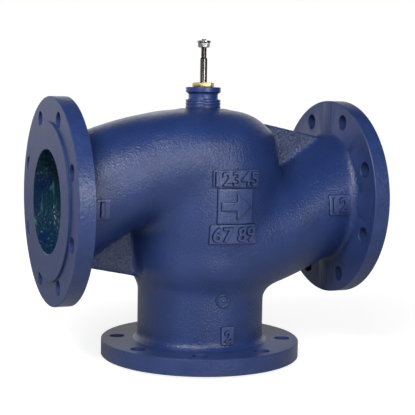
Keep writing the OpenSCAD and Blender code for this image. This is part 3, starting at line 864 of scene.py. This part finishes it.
# %% Lay the parting strips
STRIP_HALF, STRIP_PROUD, STRIP_SUNK = 9 * MM, 1.0 * MM, 2.4 * MM
STRIP_IN, STRIP_OUT = 78 * MM, FLANGE_R - 1.4 * MM
strips = []
for side in (-1, 1):
    for up in (-1, 1):
        x = side * (FACE_X - FLANGE_T + STRIP_SUNK / 2)
        z = AXIS_Z + up * (STRIP_IN + STRIP_OUT) / 2
        bpy.ops.mesh.primitive_cube_add(size=1, location=(x, 0, z))
        strip = bpy.context.object
        strip.scale = (STRIP_SUNK + 2 * STRIP_PROUD, 2 * STRIP_HALF, STRIP_OUT - STRIP_IN)
        settle(strip)
        bevel_edges(strip, 0.9 * MM, 3, 50)
        strips.append(strip)
only(strips[0])
for strip in strips[1:]:
    strip.select_set(True)
bpy.ops.object.join()
strips = bpy.context.object
strips.name = "parting_strips"
strips.data.materials.append(turned_blue)
smooth_by_angle(strips, 40)
dress(strips, FIXED, "casting_paint")

# %% [markdown]
# ## Neck, gland, stem and nut
# Four turned pieces stand on top. Each is one outline on the lathe, within its solid's own size.

# %% Turn the neck
neck_top, neck_foot = NECK_HIGH.z, NECK_HIGH.z - 25.5 * MM
NECK_R, CLAMP_R, NECK_BORE_R = 21.75 * MM, 18.3 * MM, 7.55 * MM
PACKING_R, GLAND_BORE_R = 9.05 * MM, 10.05 * MM
low_collar, high_collar = neck_foot + 10.3 * MM, neck_top - 5.8 * MM
packing_foot = NECK_LOW.z + 12 * MM
spigot_side = SPIGOT_R - 0.05 * MM


def groove(height):
    """A shallow round groove turned into the collar."""
    half = 0.9 * MM
    hollow = arc((NECK_R + 0.25 * MM, height), half, 250, 110, 4)
    return [(NECK_R, height - half), *hollow, (NECK_R, height + half)]


neck = spun("neck_turned", [
    (NECK_BORE_R, NECK_LOW.z), (SPIGOT_R - 1.1 * MM, NECK_LOW.z),
    (spigot_side, NECK_LOW.z + 1 * MM), (spigot_side, neck_foot),
    (NECK_R - 0.4 * MM, neck_foot), (NECK_R, neck_foot + 0.4 * MM),
    *groove(neck_foot + 3.5 * MM), *groove(neck_foot + 7.1 * MM),
    *arc((NECK_R - 0.8 * MM, low_collar - 0.8 * MM), 0.8 * MM, 0, 90, 4),
    (CLAMP_R + 1.6 * MM, low_collar),
    *arc((CLAMP_R + 1.6 * MM, low_collar + 1.6 * MM), 1.6 * MM, 270, 180, 5),
    *arc((CLAMP_R + 2.2 * MM, high_collar - 3.45 * MM), 2.2 * MM, 180, 135, 4),
    (NECK_R - 0.3 * MM, high_collar - 0.3 * MM), (NECK_R, high_collar),
    *arc((NECK_R - 0.6 * MM, neck_top - 0.6 * MM), 0.6 * MM, 0, 90, 4),
    (GLAND_BORE_R, neck_top), (GLAND_BORE_R, GLAND_LOW.z), (PACKING_R, GLAND_LOW.z),
    (PACKING_R, packing_foot), (NECK_BORE_R, packing_foot),
], 96)
neck.data.materials.append(neck_blue)
smooth_by_angle(neck, 30)
dress(neck, FIXED, "neck_paint", "neck")

# %% Turn and mill the gland nut
head_low, head_high = GLAND_HIGH.z - 5.1 * MM, GLAND_HIGH.z
GLAND_FLATS, HEXAGON_TURN = 24 * MM, math.radians(-43)


def hexagon(name, flats, low, high):
    """A six-sided bar, turned as the hexagons of the valve are, and its radius at the corners."""
    corner = flats / 2 / math.cos(math.radians(30))
    bpy.ops.mesh.primitive_cylinder_add(
        vertices=6, radius=corner, depth=high - low, location=(0, 0, (low + high) / 2),
        rotation=(0, 0, HEXAGON_TURN))
    piece = bpy.context.object
    piece.name = name
    settle(piece)
    return piece, corner


gland, corner = hexagon("gland_hexagon", GLAND_FLATS, head_low, head_high)
past_corner, under_head = corner + 1 * MM, head_low - 0.2 * MM
cut(gland, spun("corner_tool", [
    (0, under_head), (past_corner, under_head), (past_corner, head_high - 1.35 * MM),
    (GLAND_FLATS / 2 - 0.2 * MM, head_high), (0, head_high),
], 96), "INTERSECT")
SHANK_R, shank_top = 10 * MM, head_low + 0.5 * MM
cut(gland, spun("gland_shank", [
    (0, GLAND_LOW.z), (SHANK_R - 0.6 * MM, GLAND_LOW.z), (SHANK_R, GLAND_LOW.z + 0.6 * MM),
    (SHANK_R, shank_top), (0, shank_top),
], 64), "UNION")
STEM_HOLE_R, WIPER_R, wiper_foot = 4.9 * MM, 7.05 * MM, head_high - 3 * MM
below, above = GLAND_LOW.z - 1 * MM, head_high + 1 * MM
cut(gland, spun("gland_drill", [
    (0, below), (STEM_HOLE_R, below), (STEM_HOLE_R, wiper_foot), (WIPER_R, wiper_foot),
    (WIPER_R, head_high - 0.3 * MM), (WIPER_R + 0.45 * MM, head_high + 0.2 * MM),
    (WIPER_R + 0.45 * MM, above), (0, above),
], 64))
bevel_edges(gland, 0.25 * MM, 2, 40)
gland.data.materials.clear()
gland.data.materials.append(gland_brass)
tidy(gland)
smooth_by_angle(gland, 30)
dress(gland, FIXED, "brass", "gland_nut")

# %% Turn the stem
tail_z, top_z = STEM_LOW.z, STEM_HIGH.z
STEM_R, ROOT_R, COLLAR_R, TAIL_R = 4.5 * MM, 7 * MM, 12 * MM, 6 * MM
CORE_R, THREAD_R = 3.05 * MM, 3.75 * MM
shoulder, thread_foot = top_z - 24 * MM, top_z - 22.1 * MM
collar_low, root_top = 145.9 * MM, 246 * MM
collar_high = collar_low + 4 * MM
stem = spun("stem_turned", [
    (0, tail_z), (TAIL_R - 1 * MM, tail_z), (TAIL_R, tail_z + 1 * MM), (TAIL_R, collar_low),
    (COLLAR_R - 0.4 * MM, collar_low), (COLLAR_R, collar_low + 0.4 * MM),
    (COLLAR_R, collar_high - 0.4 * MM), (COLLAR_R - 0.4 * MM, collar_high),
    (ROOT_R + 0.6 * MM, collar_high), (ROOT_R, collar_high + 0.6 * MM),
    (ROOT_R, root_top - 2.5 * MM), (STEM_R, root_top), (STEM_R, shoulder - 0.2 * MM),
    (STEM_R - 0.15 * MM, shoulder), (3.9 * MM, shoulder + 1.2 * MM), (CORE_R, thread_foot),
    (CORE_R, top_z - 0.4 * MM), (CORE_R - 0.4 * MM, top_z), (0, top_z),
], 48)
stem.data.materials.append(stem_steel)
smooth_by_angle(stem, 30)
dress(stem, MOVING, "steel", "stem")

# %% [markdown]
# The thread is a real helix. One vee of its outline is swept by the Screw modifier, and the ends of
# the sweep sink into the core, so the stem shows a thread that could take a nut.

# %% Cut the stem's thread
PITCH = 1.25 * MM
turns = int((top_z - 0.3 * MM - thread_foot) / PITCH) - 1
bpy.ops.mesh.primitive_circle_add(vertices=4, radius=1)
thread = bpy.context.object
thread.name = "stem_thread"
in_core, gap = CORE_R - 0.4 * MM, 0.02 * MM
vee = [(in_core, gap), (THREAD_R, PITCH * 0.44), (THREAD_R, PITCH * 0.56), (in_core, PITCH - gap)]
for point, (radius, height) in zip(thread.data.vertices, vee):
    point.co = Vector((radius, 0, thread_foot + height))
bpy.ops.object.mode_set(mode="EDIT")
bpy.ops.mesh.select_all(action="SELECT")
bpy.ops.mesh.edge_face_add()
bpy.ops.object.mode_set(mode="OBJECT")
apply_modifier(thread, "SCREW", angle=2 * math.pi, screw_offset=PITCH, iterations=turns, steps=32,
               render_steps=32, use_merge_vertices=False)
only(thread)
bpy.ops.object.mode_set(mode="EDIT")
bpy.ops.mesh.select_all(action="SELECT")
bpy.ops.mesh.remove_doubles(threshold=1e-6)
bpy.ops.mesh.select_all(action="DESELECT")
bpy.ops.mesh.select_non_manifold()
bpy.ops.mesh.fill_holes(sides=0)
bpy.ops.object.mode_set(mode="OBJECT")
tidy(thread)
thread.data.materials.append(thread_steel)
smooth_by_angle(thread, 30)
dress(thread, MOVING, "steel")

# %% Mill the flange nut
NUT_FLATS, NUT_HEX, NUT_FLANGE_R = 13 * MM, 5.8 * MM, 8.5 * MM
nut_low, nut_high = NUT_LOW.z, NUT_HIGH.z
hex_top = nut_low + NUT_HEX
nut, corner = hexagon("flange_nut_milled", NUT_FLATS, nut_low, hex_top + 0.4 * MM)
past_corner = corner + 0.3 * MM
cut(nut, spun("corner_tool", [
    (0, nut_low), (NUT_FLATS / 2 - 0.1 * MM, nut_low), (past_corner, nut_low + 0.9 * MM),
    (past_corner, nut_high), (0, nut_high),
], 64), "INTERSECT")
cut(nut, spun("nut_flange", [
    (0, hex_top - 0.6 * MM), (6.8 * MM, hex_top - 0.6 * MM),
    (NUT_FLANGE_R - 0.3 * MM, hex_top + 0.5 * MM), (NUT_FLANGE_R, hex_top + 0.9 * MM),
    (NUT_FLANGE_R, nut_high - EDGE), (NUT_FLANGE_R - EDGE, nut_high), (0, nut_high),
], 64), "UNION")
HOLE_R, MOUTH_R = THREAD_R + 0.05 * MM, THREAD_R + 0.6 * MM
below, above = nut_low - 1 * MM, nut_high + 1 * MM
cut(nut, spun("nut_drill", [
    (0, below), (MOUTH_R, below), (MOUTH_R, nut_low), (HOLE_R, nut_low + 0.6 * MM),
    (HOLE_R, nut_high - 0.6 * MM), (MOUTH_R, nut_high), (MOUTH_R, above), (0, above),
], 48))
bevel_edges(nut, 0.15 * MM, 2, 40)
nut.data.materials.clear()
nut.data.materials.append(nut_steel)
tidy(nut)
smooth_by_angle(nut, 30)
dress(nut, MOVING, "steel", "stem_flange_nut")
